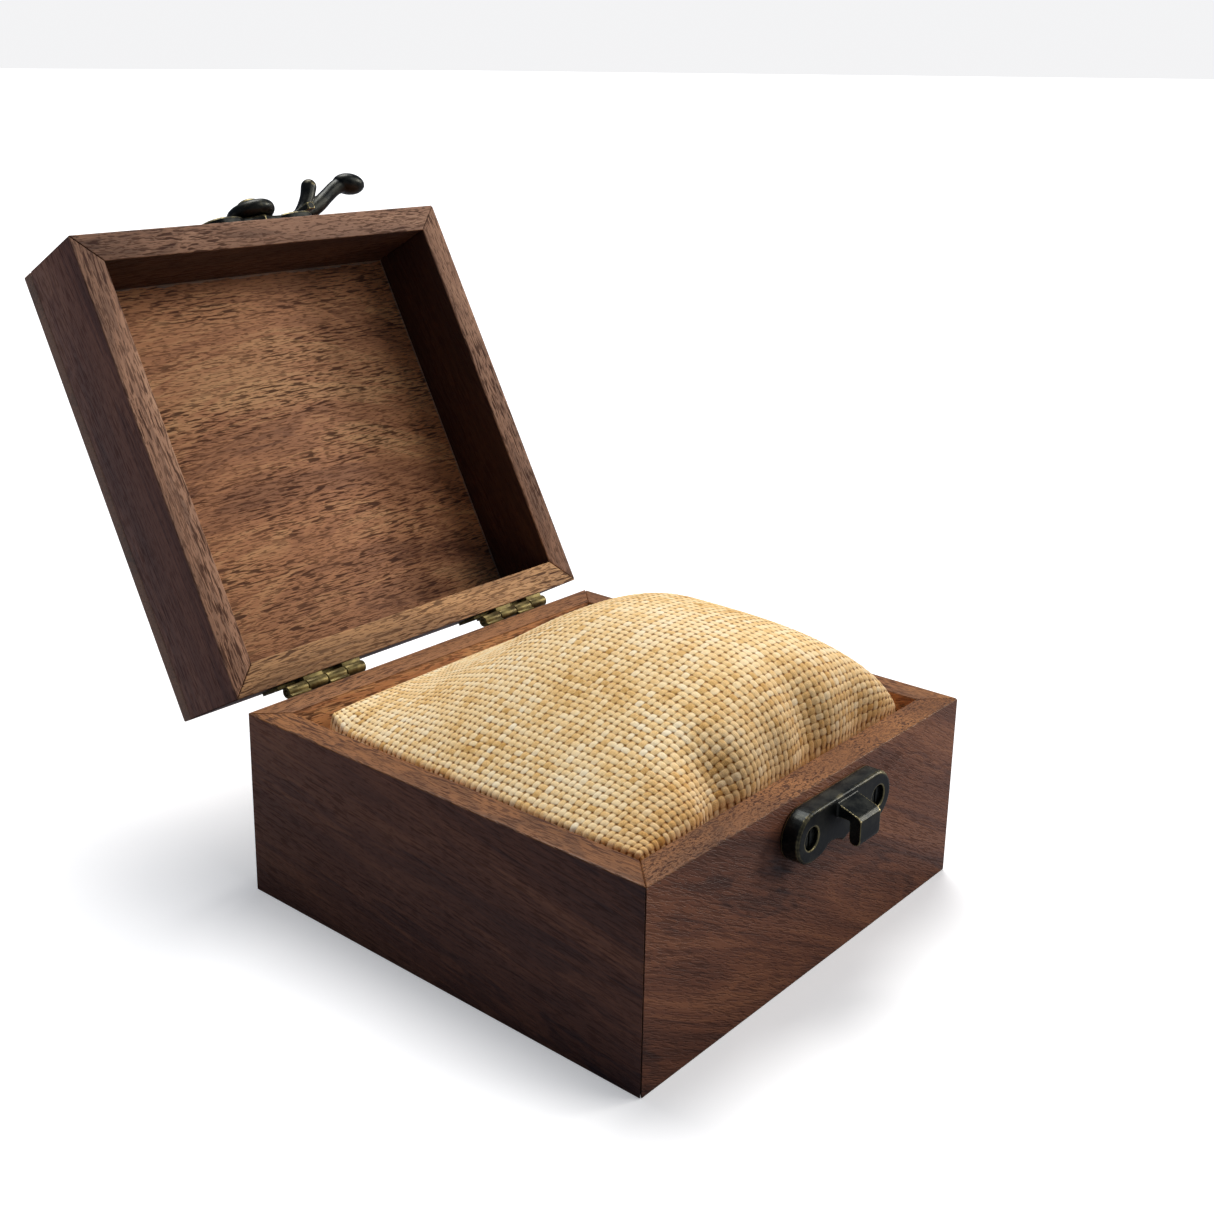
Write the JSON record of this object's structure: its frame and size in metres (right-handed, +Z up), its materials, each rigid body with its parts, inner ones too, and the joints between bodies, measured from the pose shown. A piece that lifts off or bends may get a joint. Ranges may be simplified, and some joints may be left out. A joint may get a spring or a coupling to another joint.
{
  "type": "watch box",
  "caption": "Small walnut box for one watch: hinged lid standing open, swinging bronze latch, and a burlap cushion in the well.",
  "frame": {"origin": "centre of the base's underside, where the box rests", "axes": "+X to the right along the front, +Y from the front to the hinges, +Z up; the lid stands open at rest"},
  "size_m": [0.1, 0.1769, 0.133],
  "materials": {
    "walnut": "oiled dark walnut with open pores, satin",
    "walnut_inside": "sanded walnut, matt",
    "aged_brass": "aged brass, dull",
    "aged_bronze": "blackened bronze plating on a zinc casting, rubbed gold on its edges, semi-gloss",
    "burlap": "cream and tan plain-weave burlap, matt"
  },
  "bodies": {
    "base": {"base_front_wall": "walnut", "base_back_wall": "walnut", "base_left_wall": "walnut", "base_right_wall": "walnut", "base_bottom_panel": "walnut_inside", "hinge_left_base_leaf": "aged_brass", "hinge_left_pin": "aged_brass", "hinge_left_base_nail_1": "aged_brass", "hinge_left_base_nail_2": "aged_brass", "hinge_right_base_leaf": "aged_brass", "hinge_right_pin": "aged_brass", "hinge_right_base_nail_1": "aged_brass", "hinge_right_base_nail_2": "aged_brass", "catch_plate": "aged_bronze", "catch_screw_left": "aged_bronze", "catch_screw_right": "aged_bronze", "cushion": "burlap"},
    "lid": {"lid_front_wall": "walnut", "lid_back_wall": "walnut", "lid_left_wall": "walnut", "lid_right_wall": "walnut", "lid_top_panel": "walnut_inside", "hinge_left_lid_leaf": "aged_brass", "hinge_left_lid_nail_1": "aged_brass", "hinge_left_lid_nail_2": "aged_brass", "hinge_right_lid_leaf": "aged_brass", "hinge_right_lid_nail_1": "aged_brass", "hinge_right_lid_nail_2": "aged_brass", "lid_latch_plate": "aged_bronze", "lid_latch_screw_left": "aged_bronze", "lid_latch_screw_right": "aged_bronze", "latch_rivet": "aged_bronze"},
    "lever": {"latch_lever": "aged_bronze"}
  },
  "joints": [
    {"name": "lid_hinge", "type": "hinge", "parent": "base", "child": "lid", "pos_m": [0, 0.051, 0.03825], "axis": [1, 0, 0], "range_deg": [0, 119]},
    {"name": "latch_pivot", "type": "hinge", "parent": "lid", "child": "lever", "pos_m": [0.0025, 0.10713, 0.12147], "axis": [0, 0.4848, 0.8746], "range_deg": [-90, 90]}
  ]
}
